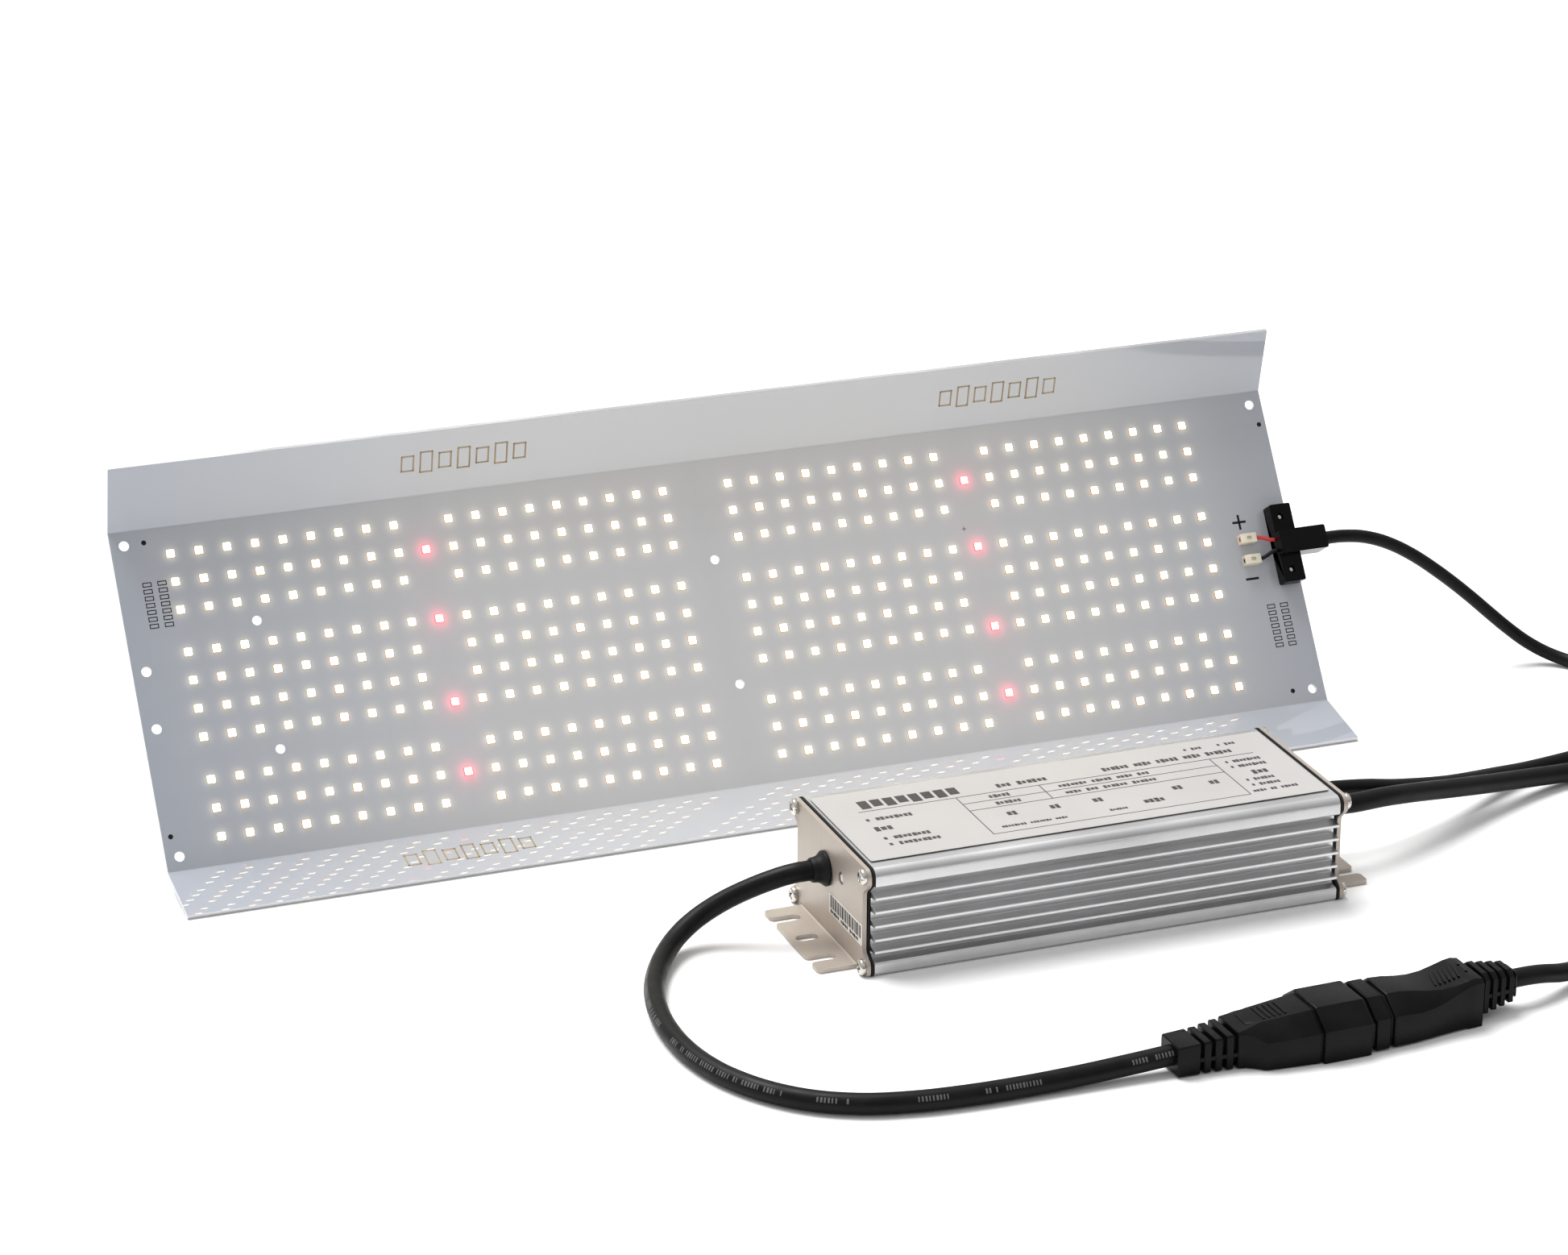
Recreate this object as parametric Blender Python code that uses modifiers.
"""LED grow light: a bent aluminium LED board on its long edge, its sealed LED driver, and their leads.

Metres, +Z up. The object stands on Z = 0. The origin is the middle of the footprint of the board and
the driver together. +X runs along the board, and the lit side of the board looks towards -Y and up.
"""
import math

import bmesh
import bpy
from mathutils import Euler, Matrix, Vector

GAP = 0.0003                     # clearance between pieces that touch

# LED board: a sheet bent into a shallow channel, leaning back on the edge of its lower wing
BOARD_LENGTH = 0.448
BOARD_FLAT = 0.122
WING_WIDTH = 0.0254
WING_ANGLE = math.radians(45.0)
SHEET = 0.0016
BOARD_LEAN = math.radians(33.6)  # the flat panel's lean back from upright
BOARD_CENTRE = (-0.0064, 0.0725, 0.0574)
BEND_STEPS = 4

# LED grid
LED_PITCH = 0.0102
LED_SIZE = 0.003
LED_HEIGHT = 0.0007
LED_LAYER = 0.0002               # printed circuit layer that the LEDs are soldered to
LED_MARGIN = 0.0022
BLOCK_COLUMNS = 9
BLOCK_STARTS = (0.0, 10.0, 20.476, 30.476)      # first column of each block, in pitches
RED_COLUMNS = (9.0, 29.476)
ROWS = (0.0, 1.0, 2.0, 3.5, 4.5, 5.5, 6.5, 8.0, 9.0, 10.0)
RED_ROWS = (1.0, 3.5, 6.5, 9.0)
FIRST_COLUMN_X = -0.2033
FIRST_ROW_Y = 0.051

# holes in the board
EDGE_HOLE_X = 0.219
CORNER_HOLE_Y = 0.0558
MIDDLE_HOLE_Y = 0.0103
EDGE_HOLE_RADIUS = 0.0018
INNER_HOLES = ((-0.1769, 0.0233), (-0.1769, -0.0233), (-0.0049, 0.0233), (-0.0049, -0.0233))
INNER_HOLE_RADIUS = 0.0017
TOOLING_HOLES = ((-0.2119, 0.0561), (-0.2209, -0.0485), (0.2212, 0.0478), (0.2108, -0.0556))
TOOLING_HOLE_RADIUS = 0.0007

# wire terminals and cord clamp at the right-hand edge of the board
TERMINAL_SIZE = (0.0065, 0.0037, 0.0040)
TERMINAL_X = 0.2051
TERMINAL_Y = 0.0041
CORE_RADIUS = 0.00075
CORE_HEIGHT = 0.0022
CLAMP_BAR = (0.0086, 0.0302, 0.0060)
CLAMP_BLOCK = (0.0194, 0.0090, 0.0092)
CLAMP_LEFT_X = 0.2150
CLAMP_SCREW_X = 0.2190
CLAMP_SCREW_RADIUS = 0.0012
CLAMP_BORE_RADIUS = 0.0016

# LED driver
DRIVER_CENTRE = (0.0581, -0.0771)
CASE_LENGTH = 0.172
CASE_WIDTH = 0.068
CASE_HEIGHT = 0.0388
CASE_CORNER = 0.0032
GROOVE_DEPTH = 0.0043
TOP_BOSS_BOTTOM = 0.0325
RIB_CENTRES = (0.0282, 0.0232, 0.0181, 0.0131, 0.0087)
RIB_THICKNESS = 0.0011
BOTTOM_BOSS_TOP = 0.0049
CAVITY = (0.0540, 0.0346)
SCREW_INSET = 0.0029
PORT_RADIUS = 0.0017
GASKET_THICKNESS = 0.0008
PLATE_THICKNESS = 0.0015
FLANGE_WIDTH = 0.0508
FLANGE_REACH = 0.0141
SLOT_WIDTH = 0.0046
SLOT_Y = 0.0165                  # open slots, either side of the middle
SLOT_INNER = 0.0041              # inner end of every slot, measured from the plate
HEAD_RADIUS = 0.0028
HEAD_HEIGHT = 0.0020
SHANK_RADIUS = 0.0013
SHANK_LENGTH = 0.0100
INPUT_GLAND = (0.0034, 0.0245)   # place on its end plate, from the driver's middle plane, and height
FILL_HOLE = (-0.0103, 0.0265)
FILL_HOLE_RADIUS = 0.0023
OUTPUT_GLAND = (-0.0089, 0.0240)
DIMMING_GLAND = (0.0051, 0.0240)
GLAND_LENGTH = 0.0075
LABEL = (0.170, 0.0555, 0.0002)
LABEL_Y = 0.0005

# cords
INPUT_CORD_RADIUS = 0.0035
OUTPUT_CORD_RADIUS = 0.0035
DIMMING_LEAD_RADIUS = 0.0028
BOARD_LEAD_RADIUS = 0.0025
MAINS_CORD_RADIUS = 0.0032
DIMMING_CORE_RADIUS = 0.0009

# appliance coupler on the input cord: inline inlet and mains connector share one axis near the floor
COUPLER_START = (0.0338, -0.2088)
COUPLER_ANGLE = math.radians(1.7)
SHROUD_START = 0.0485
SHROUD_END = 0.0660
SHROUD_WIDTH = 0.0300
SHROUD_HEIGHT = 0.0170
SHROUD_WALL = 0.0016
SHROUD_CHAMFER = 0.0068
NOSE_LENGTH = 0.0160
CONNECTOR_END = 0.1255
PIN_SIZE = (0.0040, 0.0020)
PIN_SPREAD = 0.0070
PIN_DROP = 0.0020

# coil of the mains cord and its plug
COIL_CENTRE = (0.2565, -0.2250)
COIL_TURNS = 4                   # turns side by side in the lower layer
COIL_OUTER_TURN = 0.0440
COIL_LIFT = 0.0010
TIE_THICKNESS = 0.0007
TIE_WIDTH = 0.0080
TIE_ANGLE = math.radians(-62.0)
PLUG_START = (0.3300, -0.1895)
PLUG_RADIUS = 0.0188
PLUG_LENGTH = 0.0600
PLUG_PIN_RADIUS = 0.0024
PLUG_PIN_LENGTH = 0.0190
PLUG_PIN_SPREAD = 0.0095

# in-line connector between the driver's output cord and the board's lead
LINK_START = (0.3420, -0.0660)
LINK_RADIUS = 0.0080
LINK_HALF = 0.0278

# routes of the free cords, from end to end, in metres
INPUT_ROUTE = (
    (-0.0390, -0.0737, 0.0245), (-0.0415, -0.0737, 0.0245), (-0.0475, -0.0724, 0.0231),
    (-0.0565, -0.0695, 0.0194),
    (-0.0660, -0.0669, 0.0146), (-0.0757, -0.0668, 0.0094), (-0.0852, -0.0723, 0.0056),
    (-0.0945, -0.0845, 0.0038), (-0.1020, -0.1001, 0.0036), (-0.1066, -0.1170, 0.0036),
    (-0.1083, -0.1335, 0.0036), (-0.1073, -0.1505, 0.0036), (-0.1028, -0.1672, 0.0036),
    (-0.0945, -0.1820, 0.0036), (-0.0832, -0.1936, 0.0036), (-0.0690, -0.2015, 0.0036),
    (-0.0530, -0.2058, 0.0036), (-0.0360, -0.2078, 0.0036), (-0.0180, -0.2084, 0.0036),
    (0.0010, -0.2086, 0.0040), (0.0175, -0.2087, 0.0048), (0.0335, -0.2088, 0.0058),
)
OUTPUT_ROUTE = (
    (0.1552, -0.0860, 0.0240), (0.1640, -0.0858, 0.0237), (0.1765, -0.0826, 0.0226),
    (0.1912, -0.0770, 0.0197), (0.2105, -0.0693, 0.0153), (0.2322, -0.0605, 0.0104),
    (0.2527, -0.0533, 0.0066), (0.2709, -0.0490, 0.0042), (0.2880, -0.0480, 0.0036),
    (0.3040, -0.0515, 0.0037), (0.3185, -0.0590, 0.0048), (0.3320, -0.0650, 0.0074),
    (0.3415, -0.0660, 0.0080),
)
DIMMING_ROUTE = (
    (0.1552, -0.0720, 0.0240), (0.1640, -0.0720, 0.0236), (0.1765, -0.0710, 0.0219),
    (0.1902, -0.0682, 0.0187), (0.2144, -0.0600, 0.0131), (0.2417, -0.0472, 0.0071),
    (0.2588, -0.0402, 0.0040), (0.2773, -0.0354, 0.0029), (0.2940, -0.0322, 0.0029),
    (0.3120, -0.0300, 0.0029), (0.3300, -0.0300, 0.0029), (0.3470, -0.0330, 0.0029),
)
BOARD_LEAD_ROUTE = (
    (0.2283, 0.0685, 0.0600), (0.2358, 0.0685, 0.0599), (0.2440, 0.0685, 0.0588),
    (0.2522, 0.0684, 0.0563), (0.2604, 0.0682, 0.0524), (0.2686, 0.0680, 0.0473),
    (0.2768, 0.0676, 0.0413), (0.2848, 0.0670, 0.0349), (0.2926, 0.0661, 0.0282),
    (0.3002, 0.0649, 0.0213), (0.3076, 0.0633, 0.0147), (0.3147, 0.0609, 0.0090),
    (0.3215, 0.0572, 0.0049), (0.3275, 0.0516, 0.0028), (0.3325, 0.0436, 0.0026),
    (0.3378, 0.0330, 0.0026), (0.3460, 0.0215, 0.0026), (0.3590, 0.0130, 0.0026),
    (0.3760, 0.0092, 0.0026), (0.3950, 0.0058, 0.0026), (0.4125, -0.0020, 0.0026),
    (0.4265, -0.0150, 0.0026), (0.4330, -0.0325, 0.0028), (0.4298, -0.0492, 0.0040),
    (0.4180, -0.0610, 0.0062), (0.4070, -0.0652, 0.0077), (0.3986, -0.0660, 0.0080),
)
MAINS_ROUTE = (
    (0.1597, -0.2050, 0.0098), (0.1660, -0.2046, 0.0097), (0.1730, -0.2031, 0.0086),
    (0.1805, -0.2008, 0.0066), (0.1900, -0.1972, 0.0048), (0.2010, -0.1930, 0.0042),
    (0.2130, -0.1878, 0.0042), (0.2255, -0.1825, 0.0042), (0.2389, -0.1774, 0.0042),
)
MAINS_TAIL_ROUTE = (
    (0.2724, -0.1767, 0.0092), (0.2810, -0.1799, 0.0096), (0.2905, -0.1832, 0.0110),
    (0.3005, -0.1863, 0.0135), (0.3105, -0.1885, 0.0165), (0.3200, -0.1895, 0.0185),
    (0.3296, -0.1895, 0.0188),
)

MATERIALS = {
    "aluminium_board": ((0.62, 0.64, 0.68), 0.45, 0.6),
    "white_led": ((0.95, 0.90, 0.70), 0.35, 0.0),
    "red_led": ((0.90, 0.30, 0.35), 0.35, 0.0),
    "ivory_plastic": ((0.80, 0.75, 0.62), 0.45, 0.0),
    "black_plastic": ((0.03, 0.03, 0.03), 0.45, 0.0),
    "black_rubber": ((0.025, 0.025, 0.025), 0.55, 0.0),
    "red_core": ((0.62, 0.08, 0.07), 0.45, 0.0),
    "black_core": ((0.03, 0.03, 0.035), 0.45, 0.0),
    "satin_aluminium": ((0.55, 0.56, 0.58), 0.38, 1.0),
    "steel_plate": ((0.60, 0.56, 0.50), 0.35, 1.0),
    "screw_steel": ((0.65, 0.63, 0.60), 0.22, 1.0),
    "label_foil": ((0.78, 0.77, 0.75), 0.40, 0.2),
    "circuit_board": ((0.05, 0.22, 0.09), 0.50, 0.0),
    "ferrite": ((0.08, 0.08, 0.09), 0.60, 0.0),
    "copper_winding": ((0.55, 0.25, 0.10), 0.35, 1.0),
    "capacitor_sleeve": ((0.06, 0.06, 0.10), 0.35, 0.0),
    "plated_brass": ((0.70, 0.66, 0.55), 0.25, 1.0),
    "purple_core": ((0.25, 0.07, 0.35), 0.45, 0.0),
    "grey_core": ((0.35, 0.35, 0.36), 0.45, 0.0),
    "silicone_plug": ((0.70, 0.70, 0.68), 0.50, 0.0),
}


def clear_scene():
    for item in list(bpy.data.objects):
        bpy.data.objects.remove(item, do_unlink=True)


def make_collection(name):
    collection = bpy.data.collections.new(name)
    bpy.context.scene.collection.children.link(collection)
    return collection


def make_materials():
    made = {}
    for name, (colour, roughness, metallic) in MATERIALS.items():
        material = bpy.data.materials.new(name)
        material.use_nodes = True
        shader = material.node_tree.nodes["Principled BSDF"]
        shader.inputs["Base Color"].default_value = (*colour, 1.0)
        shader.inputs["Roughness"].default_value = roughness
        shader.inputs["Metallic"].default_value = metallic
        made[name] = material
    return made


clear_scene()
PARTS = make_collection("led_grow_light")
CUTTERS = make_collection("cutters")
PAINT = make_materials()


def add_object(name, mesh, material, matrix=Matrix.Identity(4), smooth=False):
    """Put a mesh in the model as one named sub-part."""
    item = bpy.data.objects.new(name, mesh)
    item.matrix_world = matrix
    PARTS.objects.link(item)
    mesh.materials.clear()
    mesh.materials.append(PAINT[material])
    if smooth:
        mesh.shade_smooth()
        mesh.set_sharp_from_angle(angle=math.radians(35.0))
    return item


def box_mesh(low, high):
    mesh = bpy.data.meshes.new("box")
    work = bmesh.new()
    bmesh.ops.create_cube(work, size=1.0)
    size = Vector(high) - Vector(low)
    middle = (Vector(high) + Vector(low)) / 2
    bmesh.ops.scale(work, vec=size, verts=work.verts)
    bmesh.ops.translate(work, vec=middle, verts=work.verts)
    work.to_mesh(mesh)
    work.free()
    return mesh


def rod_mesh(start, end, radius, sides=12, end_radius=None):
    """A solid round rod or taper between two points."""
    start, end = Vector(start), Vector(end)
    mesh = bpy.data.meshes.new("rod")
    work = bmesh.new()
    length = (end - start).length
    far = radius if end_radius is None else end_radius
    bmesh.ops.create_cone(work, cap_ends=True, segments=sides, radius1=radius, radius2=far, depth=length)
    turn = (end - start).to_track_quat("Z", "Y").to_matrix().to_4x4()
    bmesh.ops.transform(work, matrix=Matrix.Translation((start + end) / 2) @ turn, verts=work.verts)
    work.to_mesh(mesh)
    work.free()
    return mesh


def welded_mesh(item, distance=1e-6):
    """The evaluated mesh of a curve or modified object, with its loose caps welded."""
    bpy.context.view_layer.update()
    graph = bpy.context.evaluated_depsgraph_get()
    mesh = bpy.data.meshes.new_from_object(item.evaluated_get(graph))
    work = bmesh.new()
    work.from_mesh(mesh)
    bmesh.ops.remove_doubles(work, verts=work.verts, dist=distance)
    bmesh.ops.recalc_face_normals(work, faces=work.faces)
    work.to_mesh(mesh)
    work.free()
    return mesh


def plate_mesh(loops, thickness):
    """A flat plate in XY, centred on Z = 0, from an outline and the holes in it."""
    curve = bpy.data.curves.new("outline", "CURVE")
    curve.dimensions = "2D"
    curve.fill_mode = "BOTH"
    curve.extrude = thickness / 2
    for loop in loops:
        spline = curve.splines.new("POLY")
        spline.points.add(len(loop) - 1)
        for point, (x, y) in zip(spline.points, loop):
            point.co = (x, y, 0.0, 1.0)
        spline.use_cyclic_u = True
    guide = bpy.data.objects.new("outline_guide", curve)
    CUTTERS.objects.link(guide)
    mesh = welded_mesh(guide)
    bpy.data.objects.remove(guide, do_unlink=True)
    return mesh


def turned_mesh(profile, sides=16):
    """A solid turned about Z from (radius, height) points, listed from the top down its outer side."""
    mesh = bpy.data.meshes.new("profile")
    points = [(0.0, 0.0, profile[0][1])] + [(r, 0.0, z) for r, z in profile] + [(0.0, 0.0, profile[-1][1])]
    edges = [(index, index + 1) for index in range(len(points) - 1)]
    mesh.from_pydata(points, edges, [])
    guide = bpy.data.objects.new("turning_guide", mesh)
    CUTTERS.objects.link(guide)
    screw = guide.modifiers.new("turn", "SCREW")
    screw.steps = sides
    screw.render_steps = sides
    screw.use_merge_vertices = True
    screw.merge_threshold = 1e-5
    turned = welded_mesh(guide)
    bpy.data.objects.remove(guide, do_unlink=True)
    return turned


def ring_mesh(profile, sides=32):
    """A closed ring turned about Z from a closed (radius, height) profile."""
    mesh = bpy.data.meshes.new("profile")
    count = len(profile)
    edges = [(index, (index + 1) % count) for index in range(count)]
    mesh.from_pydata([(r, 0.0, z) for r, z in profile], edges, [])
    guide = bpy.data.objects.new("ring_guide", mesh)
    CUTTERS.objects.link(guide)
    screw = guide.modifiers.new("turn", "SCREW")
    screw.steps = sides
    screw.render_steps = sides
    screw.use_merge_vertices = True
    screw.merge_threshold = 1e-5
    turned = welded_mesh(guide)
    bpy.data.objects.remove(guide, do_unlink=True)
    return turned


def lofted_mesh(rings):
    """A closed solid through rings of equally many points, capped at both ends."""
    mesh = bpy.data.meshes.new("loft")
    work = bmesh.new()
    rows = [[work.verts.new(point) for point in ring] for ring in rings]
    count = len(rows[0])
    for near, far in zip(rows, rows[1:]):
        for index in range(count):
            after = (index + 1) % count
            work.faces.new((near[index], near[after], far[after], far[index]))
    work.faces.new(list(reversed(rows[0])))
    work.faces.new(rows[-1])
    bmesh.ops.recalc_face_normals(work, faces=work.faces)
    work.to_mesh(mesh)
    work.free()
    return mesh


def smooth_points(route, spacing):
    """Evenly spaced points on a Catmull-Rom curve through the route's own points."""
    points = [Vector(point) for point in route]
    padded = [2 * points[0] - points[1]] + points + [2 * points[-1] - points[-2]]
    fine = []
    for a, b, c, d in zip(padded, padded[1:], padded[2:], padded[3:]):
        for step in range(24):
            t = step / 24
            fine.append(0.5 * (2 * b + (c - a) * t + (2 * a - 5 * b + 4 * c - d) * t ** 2
                               + (3 * b - a - 3 * c + d) * t ** 3))
    fine.append(points[-1])
    total = sum((b - a).length for a, b in zip(fine, fine[1:]))
    count = max(2, round(total / spacing))
    kept = [fine[0]]
    travelled = 0.0
    for a, b in zip(fine, fine[1:]):
        travelled += (b - a).length
        if travelled >= total * len(kept) / count and len(kept) < count:
            kept.append(b)
    kept.append(fine[-1])
    return kept


def square_ends(points, route, straight=0.002):
    """Add a short straight at each end, so that a cord's end faces look squarely along the route."""
    first, second = Vector(route[0]), Vector(route[1])
    last, before = Vector(route[-1]), Vector(route[-2])
    after_start = first + (second - first).normalized() * straight
    before_end = last + (before - last).normalized() * straight
    return [points[0], after_start] + points[1:-1] + [before_end, points[-1]]


def tube_mesh(points, radius, resolution=2):
    """A solid round tube along a list of points."""
    curve = bpy.data.curves.new("route", "CURVE")
    curve.dimensions = "3D"
    curve.bevel_depth = radius
    curve.bevel_resolution = resolution
    curve.use_fill_caps = True
    spline = curve.splines.new("POLY")
    spline.points.add(len(points) - 1)
    for point, place in zip(spline.points, points):
        point.co = (*place, 1.0)
    guide = bpy.data.objects.new("route_guide", curve)
    CUTTERS.objects.link(guide)
    mesh = welded_mesh(guide, 1e-7)
    bpy.data.objects.remove(guide, do_unlink=True)
    return mesh


def combine(item, meshes, operation, matrix=Matrix.Identity(4)):
    """Cut meshes out of an object, or join them to it, and keep the result as its mesh."""
    for mesh in meshes:
        tool = bpy.data.objects.new("cutter", mesh)
        tool.matrix_world = item.matrix_world @ matrix
        tool.hide_render = True
        tool.display_type = "WIRE"
        CUTTERS.objects.link(tool)
        boolean = item.modifiers.new("combine", "BOOLEAN")
        boolean.operation = operation
        boolean.solver = "EXACT"
        boolean.object = tool
        result = welded_mesh(item)
        item.modifiers.clear()
        materials = list(item.data.materials)
        item.data = result
        item.data.materials.clear()
        for material in materials:
            item.data.materials.append(material)
        bpy.data.objects.remove(tool, do_unlink=True)
    return item


def circle(x, y, radius, sides=12):
    return [(x + radius * math.cos(2 * math.pi * step / sides), y + radius * math.sin(2 * math.pi * step / sides))
            for step in range(sides)]


def arc(x, y, radius, start, end, steps):
    """Points of an arc between two angles in degrees."""
    turns = [math.radians(start + (end - start) * step / steps) for step in range(steps + 1)]
    return [(x + radius * math.cos(turn), y + radius * math.sin(turn)) for turn in turns]


def rectangle(x0, y0, x1, y1):
    return [(x0, y0), (x1, y0), (x1, y1), (x0, y1)]


BOARD_MATRIX = Matrix.Translation(BOARD_CENTRE) @ Euler((math.pi / 2 - BOARD_LEAN, 0.0, 0.0)).to_matrix().to_4x4()
ALONG_X = Euler((0.0, math.pi / 2, 0.0)).to_matrix().to_4x4()
PROFILE_TO_X = Matrix(((0, 0, 1, 0), (1, 0, 0, 0), (0, 1, 0, 0), (0, 0, 0, 1)))


# ---------------------------------------------------------------- LED board

def board_profile():
    """Cross-section of the bent sheet, as (up the slope, out of the face) points of its outline."""
    half = BOARD_FLAT / 2
    front, back = [], []
    reach = WING_WIDTH
    slope = (math.cos(WING_ANGLE), math.sin(WING_ANGLE))
    front.append((-half - reach * slope[0], reach * slope[1]))
    back.append((-half - reach * slope[0] - SHEET * slope[1], reach * slope[1] - SHEET * slope[0]))
    front.append((-half, 0.0))
    for step in range(BEND_STEPS + 1):
        turn = WING_ANGLE * (1 - step / BEND_STEPS)
        back.append((-half - SHEET * math.sin(turn), -SHEET * math.cos(turn)))
    upper_front = [(-x, z) for x, z in reversed(front)]
    upper_back = [(-x, z) for x, z in reversed(back)]
    return front + upper_front + list(reversed(back + upper_back))


def round_holes(places, radius, depth, sides=12):
    return [rod_mesh((x, y, -depth), (x, y, depth), radius, sides) for x, y in places]


def make_led_board():
    mesh = plate_mesh([board_profile()], BOARD_LENGTH)
    mesh.transform(PROFILE_TO_X)
    board = add_object("led_board", mesh, "aluminium_board", BOARD_MATRIX)
    edge_rows = (CORNER_HOLE_Y, MIDDLE_HOLE_Y, -MIDDLE_HOLE_Y, -CORNER_HOLE_Y)
    edges = [(side * EDGE_HOLE_X, y) for side in (-1, 1) for y in edge_rows]
    combine(board, round_holes(edges, EDGE_HOLE_RADIUS, 0.01), "DIFFERENCE")
    combine(board, round_holes(INNER_HOLES, INNER_HOLE_RADIUS, 0.01), "DIFFERENCE")
    combine(board, round_holes(TOOLING_HOLES, TOOLING_HOLE_RADIUS, 0.01, 8), "DIFFERENCE")
    return board


def led_place(column, row):
    return FIRST_COLUMN_X + column * LED_PITCH, FIRST_ROW_Y - row * LED_PITCH


def make_led_bank(name, columns, rows, material, holes=()):
    """LEDs of one bank, standing on the strip of printed circuit that feeds them."""
    left, top = led_place(columns[0], rows[0])
    right, bottom = led_place(columns[-1], rows[-1])
    layer = [rectangle(left - LED_MARGIN, bottom - LED_MARGIN, right + LED_MARGIN, top + LED_MARGIN)]
    layer += [circle(x, y, INNER_HOLE_RADIUS + GAP) for x, y in holes]
    mesh = plate_mesh(layer, LED_LAYER)
    place = BOARD_MATRIX @ Matrix.Translation((0.0, 0.0, GAP + LED_LAYER / 2))
    bank = add_object(name, mesh, material, place)
    bodies = bpy.data.meshes.new("led_bodies")
    work = bmesh.new()
    for column in columns:
        for row in rows:
            x, y = led_place(column, row)
            made = bmesh.ops.create_cube(work, size=1.0)["verts"]
            bmesh.ops.scale(work, vec=(LED_SIZE, LED_SIZE, LED_HEIGHT + LED_LAYER), verts=made)
            bmesh.ops.translate(work, vec=(x, y, LED_HEIGHT / 2 + LED_LAYER / 4), verts=made)
    work.to_mesh(bodies)
    work.free()
    return combine(bank, [bodies], "UNION")


def make_leds():
    for number, start in enumerate(BLOCK_STARTS, 1):
        columns = [start + step for step in range(BLOCK_COLUMNS)]
        left, right = led_place(columns[0], 0)[0], led_place(columns[-1], 0)[0]
        holes = [place for place in INNER_HOLES if left < place[0] < right]
        make_led_bank(f"white_leds_{number}", columns, ROWS, "white_led", holes)
    for number, column in enumerate(RED_COLUMNS, 1):
        make_led_bank(f"red_leds_{number}", [column], RED_ROWS, "red_led")


def make_terminals():
    length, width, height = TERMINAL_SIZE
    for name, side in (("terminal_plus", 1), ("terminal_minus", -1)):
        y = side * TERMINAL_Y
        low = (TERMINAL_X - length / 2, y - width / 2, GAP)
        high = (TERMINAL_X + length / 2, y + width / 2, height)
        terminal = add_object(name, box_mesh(low, high), "ivory_plastic", BOARD_MATRIX)
        bore = rod_mesh((low[0] - 0.001, y, CORE_HEIGHT), (high[0] + 0.001, y, CORE_HEIGHT), CORE_RADIUS + GAP, 8)
        combine(terminal, [bore], "DIFFERENCE")


def make_cores():
    """The two insulated cores between the terminals and the clamp."""
    start_x = TERMINAL_X - TERMINAL_SIZE[0] / 2 + 0.0008
    end_x = CLAMP_LEFT_X - GAP
    for name, side, material in (("core_plus", 1, "red_core"), ("core_minus", -1, "black_core")):
        y = side * TERMINAL_Y
        route = [(start_x, y, CORE_HEIGHT), (TERMINAL_X + 0.0036, y, CORE_HEIGHT),
                 (TERMINAL_X + 0.0056, y * 0.86, CORE_HEIGHT + 0.0003),
                 (end_x - 0.0016, y * 0.58, CORE_HEIGHT + 0.0011), (end_x, y * 0.50, CORE_HEIGHT + 0.0014)]
        add_object(name, tube_mesh(smooth_points(route, 0.0012), CORE_RADIUS), material, BOARD_MATRIX, True)


def make_cord_clamp():
    """T-shaped strain relief: a bar screwed across the board's edge and a block that grips the lead."""
    length, width, height = CLAMP_BAR
    bar = box_mesh((CLAMP_LEFT_X, -width / 2, GAP), (CLAMP_LEFT_X + length, width / 2, height))
    clamp = add_object("cord_clamp", bar, "black_plastic", BOARD_MATRIX)
    length, width, height = CLAMP_BLOCK
    block = box_mesh((CLAMP_LEFT_X, -width / 2, GAP), (CLAMP_LEFT_X + length, width / 2, height))
    combine(clamp, [block], "UNION")
    places = [(CLAMP_SCREW_X, side * MIDDLE_HOLE_Y) for side in (-1, 1)]
    combine(clamp, round_holes(places, CLAMP_BORE_RADIUS, 0.02), "DIFFERENCE")
    profile = [(CLAMP_SCREW_RADIUS, CLAMP_BAR[2] - 0.0008), (CLAMP_SCREW_RADIUS, -SHEET - GAP),
               (HEAD_RADIUS, -SHEET - GAP), (HEAD_RADIUS, -SHEET - GAP - 0.0012),
               (HEAD_RADIUS * 0.6, -SHEET - GAP - 0.0019)]
    for name, side in (("clamp_screw_upper", 1), ("clamp_screw_lower", -1)):
        place = BOARD_MATRIX @ Matrix.Translation((CLAMP_SCREW_X, side * MIDDLE_HOLE_Y, 0.0))
        add_object(name, turned_mesh(profile, 12), "screw_steel", place, True)


# ---------------------------------------------------------------- LED driver

def driver_at(x=0.0, y=0.0, z=0.0):
    return Matrix.Translation((DRIVER_CENTRE[0] + x, DRIVER_CENTRE[1] + y, z))


def case_side():
    """Right-hand half of the case's outline from the bottom up, as (y, z) points: bosses, ribs, grooves."""
    wide = CASE_WIDTH / 2
    deep = wide - GROOVE_DEPTH
    points = [(wide - CASE_CORNER * 0.5, 0.0)]
    points += arc(wide - CASE_CORNER * 0.5, CASE_CORNER * 0.5, CASE_CORNER * 0.5, -45, 0, 1)
    points += [(wide, BOTTOM_BOSS_TOP - 0.0004), (deep + 0.0009, BOTTOM_BOSS_TOP + 0.0012)]
    points += [(deep, RIB_CENTRES[-1] - RIB_THICKNESS / 2)]
    for centre in reversed(RIB_CENTRES):
        low, high = centre - RIB_THICKNESS / 2, centre + RIB_THICKNESS / 2
        if centre != RIB_CENTRES[-1]:
            points.append((deep, low))
        points += [(wide, low), (wide, high), (deep, high)]
    points += [(deep, TOP_BOSS_BOTTOM), (wide, TOP_BOSS_BOTTOM)]
    points += arc(wide - CASE_CORNER, CASE_HEIGHT - CASE_CORNER, CASE_CORNER, 0, 90, 4)
    return points


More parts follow.
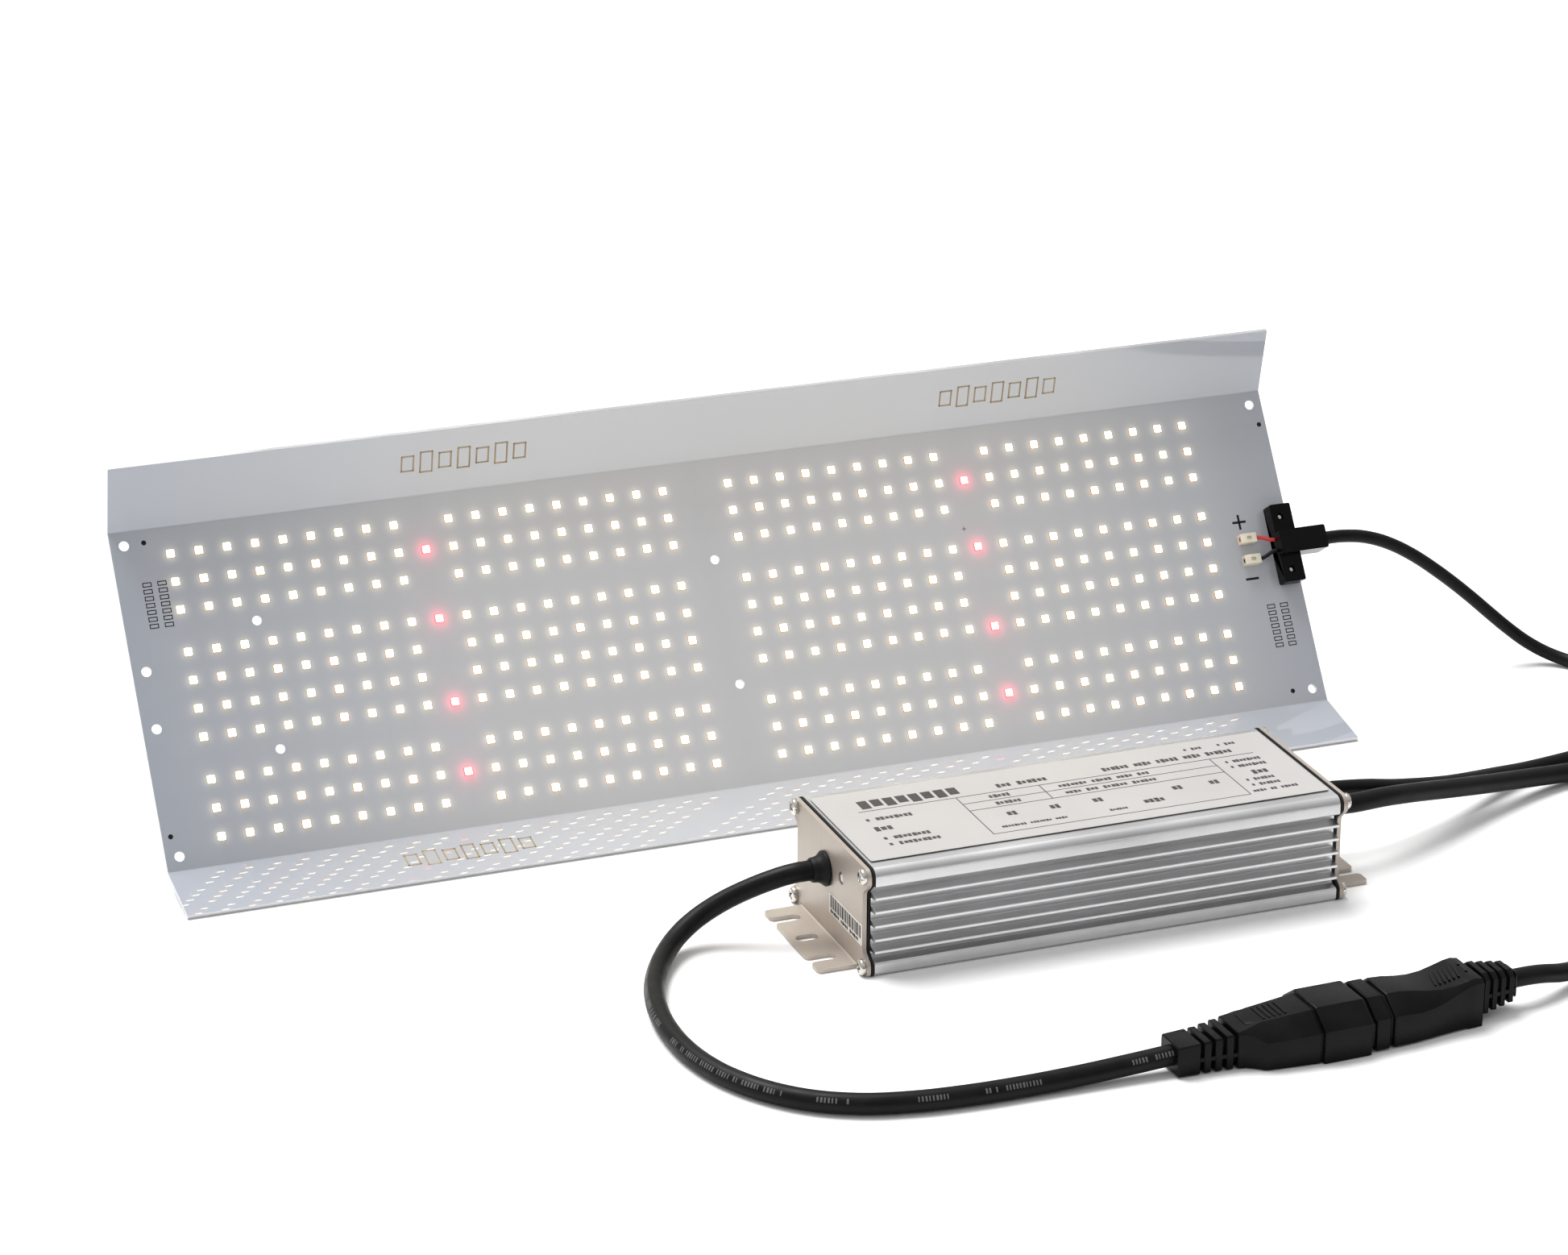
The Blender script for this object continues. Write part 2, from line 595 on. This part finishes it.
def end_outline(margin=0.0):
    """Outline of the end plates and gaskets: round lobes at the corners, stepped in between them."""
    wide = CASE_WIDTH / 2 + margin
    deep = wide - GROOVE_DEPTH
    top, bottom = CASE_HEIGHT + margin, -margin
    radius = CASE_CORNER + margin
    half = [(wide - 0.0012, bottom), (wide, bottom + 0.0012), (wide, BOTTOM_BOSS_TOP), (deep, 0.0082),
            (deep, TOP_BOSS_BOTTOM - 0.0032), (wide - 0.0006, TOP_BOSS_BOTTOM + 0.0006)]
    half += arc(wide - radius, top - radius, radius, 0, 90, 4)
    return half + [(-y, z) for y, z in reversed(half)]


def screw_places():
    wide = CASE_WIDTH / 2 - SCREW_INSET
    return [(side * wide, z) for z in (SCREW_INSET, CASE_HEIGHT - SCREW_INSET) for side in (-1, 1)]


def make_case():
    side = case_side()
    outline = side + [(-y, z) for y, z in reversed(side)]
    half_width, height = CAVITY[0] / 2, CAVITY[1]
    base = (CASE_HEIGHT - height) / 2
    loops = [outline, rectangle(-half_width, base, half_width, base + height)]
    loops += [circle(y, z, PORT_RADIUS) for y, z in screw_places()]
    mesh = plate_mesh(loops, CASE_LENGTH)
    mesh.transform(PROFILE_TO_X)
    return add_object("driver_case", mesh, "satin_aluminium", driver_at())


def make_gasket(name, end):
    window = rectangle(-CAVITY[0] / 2 + 0.001, 0.0035, CAVITY[0] / 2 - 0.001, CASE_HEIGHT - 0.0035)
    loops = [end_outline(0.0002), window] + [circle(y, z, PORT_RADIUS, 8) for y, z in screw_places()]
    mesh = plate_mesh(loops, GASKET_THICKNESS)
    mesh.transform(PROFILE_TO_X)
    x = end * (CASE_LENGTH / 2 + GAP + GASKET_THICKNESS / 2)
    return add_object(name, mesh, "black_rubber", driver_at(x=x, z=0.0002))


PLATE_X = CASE_LENGTH / 2 + GASKET_THICKNESS + PLATE_THICKNESS / 2 + 2 * GAP


def flange_loops(end):
    """The mounting flange seen from above: two slots open at the edge and a closed slot between them."""
    half = FLANGE_WIDTH / 2
    slot = SLOT_WIDTH / 2
    start = -PLATE_THICKNESS / 2
    inner = PLATE_THICKNESS / 2 + SLOT_INNER + slot
    tip = PLATE_THICKNESS / 2 + FLANGE_REACH
    round_tip = 0.0016
    outline = [(start, -half), (tip - round_tip, -half), (tip, -half + round_tip),
               (tip, -SLOT_Y - slot - round_tip), (tip - round_tip, -SLOT_Y - slot)]
    outline += arc(inner, -SLOT_Y, slot, -90, -270, 6)
    outline += [(tip - round_tip, -SLOT_Y + slot), (tip, -SLOT_Y + slot + round_tip)]
    outline += [(x, -y) for x, y in reversed(outline)]
    closed = arc(inner, 0.0, slot, 90, 270, 6) + arc(tip - 0.0045, 0.0, slot, -90, 90, 6)
    return [[(end * x, y) for x, y in loop] for loop in (outline, closed)]


def make_end_plate(name, end, holes):
    loops = [end_outline()] + [circle(y, z, PORT_RADIUS) for y, z in screw_places()]
    loops += [circle(y, z, radius, 16) for y, z, radius in holes]
    mesh = plate_mesh(loops, PLATE_THICKNESS)
    mesh.transform(PROFILE_TO_X)
    plate = add_object(name, mesh, "steel_plate", driver_at(x=end * PLATE_X))
    flange = plate_mesh(flange_loops(end), PLATE_THICKNESS)
    lift = Matrix.Translation((0.0, 0.0, PLATE_THICKNESS / 2))
    return combine(plate, [flange], "UNION", lift)


def make_end_screws():
    profile = [(HEAD_RADIUS * 0.55, HEAD_HEIGHT), (HEAD_RADIUS * 0.9, HEAD_HEIGHT * 0.7), (HEAD_RADIUS, 0.0),
               (SHANK_RADIUS, 0.0), (SHANK_RADIUS, -SHANK_LENGTH)]
    face = PLATE_X + PLATE_THICKNESS / 2 + GAP
    for end, label in ((-1, "input"), (1, "output")):
        for number, (y, z) in enumerate(screw_places(), 1):
            turn = Matrix.Rotation(end * math.pi / 2, 4, "Y")
            place = driver_at(x=end * face, y=y, z=z) @ turn
            add_object(f"{label}_end_screw_{number}", turned_mesh(profile, 10), "screw_steel", place, True)


def make_gland(name, end, place, cord_radius):
    """Flared rubber bush with its lip outside the plate and a retaining ring inside."""
    y, z = place
    face = PLATE_THICKNESS / 2 + GAP
    neck = cord_radius + 0.0009
    lip = cord_radius + 0.0028
    profile = [(cord_radius + 0.0007, face + GLAND_LENGTH), (cord_radius + 0.0012, face + GLAND_LENGTH - 0.0008),
               (lip - 0.0006, face + 0.0022), (lip, face + 0.0014), (lip, face), (neck, face), (neck, -face - 0.0012),
               (neck - 0.0008, -face - 0.0030)]
    turn = Matrix.Rotation(end * math.pi / 2, 4, "Y")
    return add_object(name, turned_mesh(profile, 16), "black_rubber", driver_at(x=end * PLATE_X, y=y, z=z) @ turn, True)


def make_fill_plug():
    """Stopper in the hole through which the driver is filled with sealing compound."""
    radius = FILL_HOLE_RADIUS - GAP
    place = driver_at(x=-PLATE_X, y=FILL_HOLE[0], z=FILL_HOLE[1]) @ Matrix.Rotation(-math.pi / 2, 4, "Y")
    profile = [(radius, 0.0002), (radius, -0.0022)]
    return add_object("fill_plug", turned_mesh(profile, 12), "silicone_plug", place, True)


def make_label():
    length, width, thickness = LABEL
    low = (-length / 2, LABEL_Y - width / 2, CASE_HEIGHT + GAP)
    high = (length / 2, LABEL_Y + width / 2, CASE_HEIGHT + GAP + thickness)
    return add_object("driver_label", box_mesh(low, high), "label_foil", driver_at())


def make_driver_inside():
    """The circuit inside the case: a board with the main parts of a switching supply on it."""
    board = box_mesh((-0.080, -0.0255, 0.0046), (0.080, 0.0255, 0.0062))
    add_object("driver_circuit_board", board, "circuit_board", driver_at())
    base = 0.0062 + GAP
    core = box_mesh((-0.004, -0.0165, base), (0.030, 0.0165, base + 0.026))
    transformer = add_object("transformer", core, "ferrite", driver_at())
    winding = box_mesh((-0.0075, -0.0115, base + 0.005), (0.0335, 0.0115, base + 0.021))
    combine(transformer, [winding], "UNION")
    choke = ring_mesh([(0.0050, 0.0), (0.0105, 0.0), (0.0105, 0.0110), (0.0050, 0.0110)], 20)
    add_object("input_choke", choke, "copper_winding", driver_at(x=-0.064, y=0.006, z=base), True)
    places = (("bulk_capacitor", -0.040, -0.008, 0.0088, 0.0270), ("output_capacitor", 0.052, 0.004, 0.0065, 0.0240))
    for name, x, y, radius, height in places:
        can = turned_mesh([(radius - 0.0008, height), (radius, height - 0.0008), (radius, 0.0)], 20)
        add_object(name, can, "capacitor_sleeve", driver_at(x=x, y=y, z=base), True)


# ---------------------------------------------------------------- appliance coupler

COUPLER = Matrix.Translation((*COUPLER_START, 0.0)) @ Matrix.Rotation(COUPLER_ANGLE, 4, "Z")


def coupler_section(place, width, height, base, chamfer, corner=0.0009):
    """Section across the coupler's axis: flat underneath, with both upper corners cut off."""
    half = width / 2
    top = base + height
    outline = [(half - corner, base), (half, base + corner), (half, top - chamfer), (half - chamfer, top),
               (-half + chamfer, top), (-half, top - chamfer), (-half, base + corner), (-half + corner, base)]
    return [(place, y, z) for y, z in outline]


def ribbed_sections(start, pitch, sizes, neck):
    """Sections of a strain relief: ribs of the given sizes with a thinner neck between them."""
    sections = []
    for number, (width, height, base) in enumerate(sizes):
        place = start + number * pitch
        rib = pitch * 0.58
        thin_width, thin_height = width * neck, height * neck
        thin_base = base + (height - thin_height) / 2
        sections.append(coupler_section(place, width, height, base, 0.0025))
        sections.append(coupler_section(place + rib, width, height, base, 0.0025))
        sections.append(coupler_section(place + rib + 0.0001, thin_width, thin_height, thin_base, 0.0020))
        sections.append(coupler_section(place + pitch - 0.0001, thin_width, thin_height, thin_base, 0.0020))
    return sections


def pin_places():
    """Middle of each pin across the coupler, as (name, y, z): earth above, live and neutral below."""
    middle = SHROUD_HEIGHT / 2
    return (("earth", 0.0, middle + PIN_DROP), ("live", PIN_SPREAD, middle - PIN_DROP),
            ("neutral", -PIN_SPREAD, middle - PIN_DROP))


def pin_box(start, end, y, z, margin=0.0):
    half_width, half_height = PIN_SIZE[1] / 2 + margin, PIN_SIZE[0] / 2 + margin
    return box_mesh((start, y - half_width, z - half_height), (end, y + half_width, z + half_height))


def make_inline_inlet():
    """Moulded inlet on the end of the input cord, with the shroud that the mains connector enters."""
    sections = [coupler_section(0.0, 0.0124, 0.0100, 0.0008, 0.0012),
                coupler_section(0.0080, 0.0124, 0.0100, 0.0008, 0.0012),
                coupler_section(0.0081, 0.0100, 0.0084, 0.0016, 0.0012),
                coupler_section(0.0093, 0.0100, 0.0084, 0.0016, 0.0012)]
    ribs = [(0.0132 + 0.0006 * step, 0.0106 + 0.0005 * step, 0.0006) for step in range(4)]
    sections += ribbed_sections(0.0094, 0.0031, ribs, 0.78)
    sections += [coupler_section(0.0222, 0.0150, 0.0125, 0.0006, 0.0030),
                 coupler_section(0.0280, 0.0250, 0.0152, 0.0002, 0.0052),
                 coupler_section(SHROUD_START - 0.0005, 0.0286, 0.0164, 0.0002, 0.0062),
                 coupler_section(SHROUD_START, SHROUD_WIDTH, SHROUD_HEIGHT, 0.0, SHROUD_CHAMFER),
                 coupler_section(SHROUD_END, SHROUD_WIDTH, SHROUD_HEIGHT, 0.0, SHROUD_CHAMFER)]
    body = add_object("inline_inlet", lofted_mesh(sections), "black_plastic", COUPLER)
    hollow_start = SHROUD_END - NOSE_LENGTH - 0.0006
    inner_width, inner_height = SHROUD_WIDTH - 2 * SHROUD_WALL, SHROUD_HEIGHT - 2 * SHROUD_WALL
    chamfer = SHROUD_CHAMFER - 0.6 * SHROUD_WALL
    hollow = [coupler_section(place, inner_width, inner_height, SHROUD_WALL, chamfer, 0.0006)
              for place in (hollow_start, SHROUD_END + 0.002)]
    combine(body, [lofted_mesh(hollow)], "DIFFERENCE")
    pin_start = hollow_start - 0.006
    for name, y, z in pin_places():
        combine(body, [pin_box(pin_start - GAP, hollow_start + 0.001, y, z, GAP)], "DIFFERENCE")
        add_object(f"inlet_pin_{name}", pin_box(pin_start, SHROUD_END - 0.003, y, z), "plated_brass", COUPLER)


def make_mains_connector():
    """Moulded connector on the mains cord: its nose slides out of the inlet's shroud."""
    wall = SHROUD_WALL + GAP
    nose_width, nose_height = SHROUD_WIDTH - 2 * wall, SHROUD_HEIGHT - 2 * wall
    chamfer = SHROUD_CHAMFER - 0.6 * SHROUD_WALL
    nose_start = SHROUD_END - NOSE_LENGTH
    collar = SHROUD_END + 0.0020
    sections = [coupler_section(nose_start, nose_width, nose_height, wall, chamfer),
                coupler_section(collar, nose_width, nose_height, wall, chamfer),
                coupler_section(collar + 0.0001, 0.0275, 0.0160, 0.0006, 0.0058),
                coupler_section(collar + 0.0056, 0.0275, 0.0160, 0.0006, 0.0058),
                coupler_section(collar + 0.0057, 0.0255, 0.0146, 0.0012, 0.0052),
                coupler_section(collar + 0.0069, 0.0255, 0.0146, 0.0012, 0.0052),
                coupler_section(collar + 0.0070, 0.0270, 0.0160, 0.0006, 0.0058),
                coupler_section(0.0880, 0.0252, 0.0156, 0.0006, 0.0056),
                coupler_section(0.0980, 0.0222, 0.0148, 0.0006, 0.0048),
                coupler_section(0.1060, 0.0205, 0.0166, 0.0006, 0.0040),
                coupler_section(0.1095, 0.0195, 0.0170, 0.0008, 0.0040),
                coupler_section(0.1106, 0.0130, 0.0125, 0.0034, 0.0030)]
    ribs = [(0.0142 - 0.0008 * step, 0.0140 - 0.0008 * step, 0.0028 + 0.0005 * step) for step in range(4)]
    sections += ribbed_sections(0.1118, 0.0031, ribs, 0.76)
    sections += [coupler_section(0.1243, 0.0100, 0.0100, 0.0048, 0.0022),
                 coupler_section(CONNECTOR_END, 0.0092, 0.0092, 0.0052, 0.0020)]
    body = add_object("mains_connector", lofted_mesh(sections), "black_plastic", COUPLER)
    slot_end = SHROUD_END + 0.001
    for name, y, z in pin_places():
        combine(body, [pin_box(nose_start - 0.001, slot_end, y, z, 2 * GAP)], "DIFFERENCE")
        bore = pin_box(slot_end - 0.001, slot_end + 0.0090, y, z, 0.0)
        combine(body, [bore], "DIFFERENCE")
        low, high = slot_end + 0.0002, slot_end + 0.0090 - GAP
        half_width, half_height = PIN_SIZE[1] / 2 - GAP, PIN_SIZE[0] / 2 - GAP
        contact = box_mesh((low, y - half_width, z - half_height), (high, y + half_width, z + half_height))
        add_object(f"connector_contact_{name}", contact, "plated_brass", COUPLER)


# ---------------------------------------------------------------- mains plug, coil and leads

def coil_heights():
    step = 2 * MAINS_CORD_RADIUS
    return COIL_LIFT, COIL_LIFT + step * (1 + math.sin(math.radians(60.0)))


def make_mains_coil():
    """Outer shape of the wound mains cord: four turns wide below and three on top of them."""
    radius = MAINS_CORD_RADIUS
    step = 2 * radius
    outer = COIL_OUTER_TURN + radius
    inner = COIL_OUTER_TURN - (COIL_TURNS - 1) * step - radius
    low, high = coil_heights()
    shoulder = low + step * 0.8
    profile = [(inner, low), (outer, low), (outer, shoulder), (outer - radius, high), (inner + radius, high),
               (inner, shoulder)]
    coil = ring_mesh(profile, 40)
    place = Matrix.Translation((*COIL_CENTRE, 0.0))
    add_object("mains_coil", coil, "black_rubber", place, True)
    tie_low, tie_high = low - GAP - TIE_THICKNESS, high + GAP + TIE_THICKNESS
    clear = math.sqrt(inner ** 2 - (TIE_WIDTH / 2) ** 2) - GAP
    near, far = clear - TIE_THICKNESS, outer + GAP + TIE_THICKNESS
    band = [rectangle(near, tie_low, far, tie_high),
            rectangle(near + TIE_THICKNESS, tie_low + TIE_THICKNESS, far - TIE_THICKNESS, tie_high - TIE_THICKNESS)]
    mesh = plate_mesh(band, TIE_WIDTH)
    upright = Matrix.Rotation(math.pi / 2, 4, "X")
    add_object("coil_tie", mesh, "black_rubber", place @ Matrix.Rotation(TIE_ANGLE, 4, "Z") @ upright)


def make_mains_plug():
    """Round two-pin plug with side earth contacts, lying on its side."""
    height = PLUG_RADIUS
    place = Matrix.Translation((*PLUG_START, height)) @ ALONG_X
    profile = [(PLUG_RADIUS - 0.0008, PLUG_LENGTH), (PLUG_RADIUS, PLUG_LENGTH - 0.0008), (PLUG_RADIUS, 0.0440),
               (PLUG_RADIUS - 0.0030, 0.0400), (0.0115, 0.0290), (0.0092, 0.0230), (0.0068, 0.0210), (0.0052, 0.0)]
    add_object("mains_plug", turned_mesh(profile, 24), "black_plastic", place, True)
    face = PLUG_LENGTH + GAP
    for name, side in (("mains_plug_pin_1", 1), ("mains_plug_pin_2", -1)):
        y = side * PLUG_PIN_SPREAD
        profile = [(PLUG_PIN_RADIUS - 0.0008, face + PLUG_PIN_LENGTH), (PLUG_PIN_RADIUS, face + PLUG_PIN_LENGTH - 0.001),
                   (PLUG_PIN_RADIUS, face)]
        add_object(name, turned_mesh(profile, 12), "plated_brass", place @ Matrix.Translation((0.0, y, 0.0)), True)


def make_link():
    """Round two-pole connector in line between the driver's output cord and the board's lead."""
    place = Matrix.Translation((*LINK_START, LINK_RADIUS)) @ ALONG_X
    half = LINK_HALF
    socket = [(LINK_RADIUS - 0.0010, half), (LINK_RADIUS - 0.0010, 0.0130), (0.0062, 0.0120), (0.0056, 0.0012),
              (0.0050, 0.0)]
    add_object("output_socket", turned_mesh(socket, 16), "black_plastic", place, True)
    start = half + GAP
    nut = [(0.0044, start + half), (0.0050, start + half - 0.0012), (0.0054, start + 0.0150), (LINK_RADIUS, start + 0.0130),
           (LINK_RADIUS, start)]
    add_object("output_plug", turned_mesh(nut, 16), "black_plastic", place, True)


def make_cords():
    cords = (("input_cord", INPUT_ROUTE, INPUT_CORD_RADIUS), ("output_cord", OUTPUT_ROUTE, OUTPUT_CORD_RADIUS),
             ("dimming_lead", DIMMING_ROUTE, DIMMING_LEAD_RADIUS), ("board_lead", BOARD_LEAD_ROUTE, BOARD_LEAD_RADIUS),
             ("mains_cord", MAINS_ROUTE, MAINS_CORD_RADIUS), ("mains_cord_tail", MAINS_TAIL_ROUTE, MAINS_CORD_RADIUS))
    for name, route, radius in cords:
        points = square_ends(smooth_points(route, 5 * radius), route)
        add_object(name, tube_mesh(points, radius), "black_rubber", smooth=True)


def make_dimming_cores():
    """The two bare cores at the free end of the dimming lead."""
    end = Vector(DIMMING_ROUTE[-1])
    heading = (end - Vector(DIMMING_ROUTE[-2])).normalized()
    across = Vector((-heading.y, heading.x, 0.0))
    for name, side, material in (("dimming_core_plus", 1, "purple_core"), ("dimming_core_minus", -1, "grey_core")):
        start = end + heading * GAP + across * side * 0.0012
        route = [start, start + heading * 0.006, start + heading * 0.014 + across * side * 0.0022,
                 start + heading * 0.022 + across * side * 0.0050]
        drop = [point - Vector((0.0, 0.0, 0.0018 * step / 3)) for step, point in enumerate(route)]
        add_object(name, tube_mesh(smooth_points(drop, 0.0025), DIMMING_CORE_RADIUS), material, smooth=True)


def make_driver():
    make_case()
    make_gasket("input_gasket", -1)
    make_gasket("output_gasket", 1)
    input_hole = (*INPUT_GLAND, INPUT_CORD_RADIUS + 0.0009 + GAP)
    fill_hole = (*FILL_HOLE, FILL_HOLE_RADIUS)
    output_hole = (*OUTPUT_GLAND, OUTPUT_CORD_RADIUS + 0.0009 + GAP)
    dimming_hole = (*DIMMING_GLAND, DIMMING_LEAD_RADIUS + 0.0009 + GAP)
    make_end_plate("input_end_plate", -1, [input_hole, fill_hole])
    make_end_plate("output_end_plate", 1, [output_hole, dimming_hole])
    make_end_screws()
    make_gland("input_gland", -1, INPUT_GLAND, INPUT_CORD_RADIUS)
    make_gland("output_gland", 1, OUTPUT_GLAND, OUTPUT_CORD_RADIUS)
    make_gland("dimming_gland", 1, DIMMING_GLAND, DIMMING_LEAD_RADIUS)
    make_fill_plug()
    make_label()
    make_driver_inside()


make_led_board()
make_leds()
make_terminals()
make_cores()
make_cord_clamp()
make_driver()
make_inline_inlet()
make_mains_connector()
make_mains_coil()
make_mains_plug()
make_link()
make_cords()
make_dimming_cores()
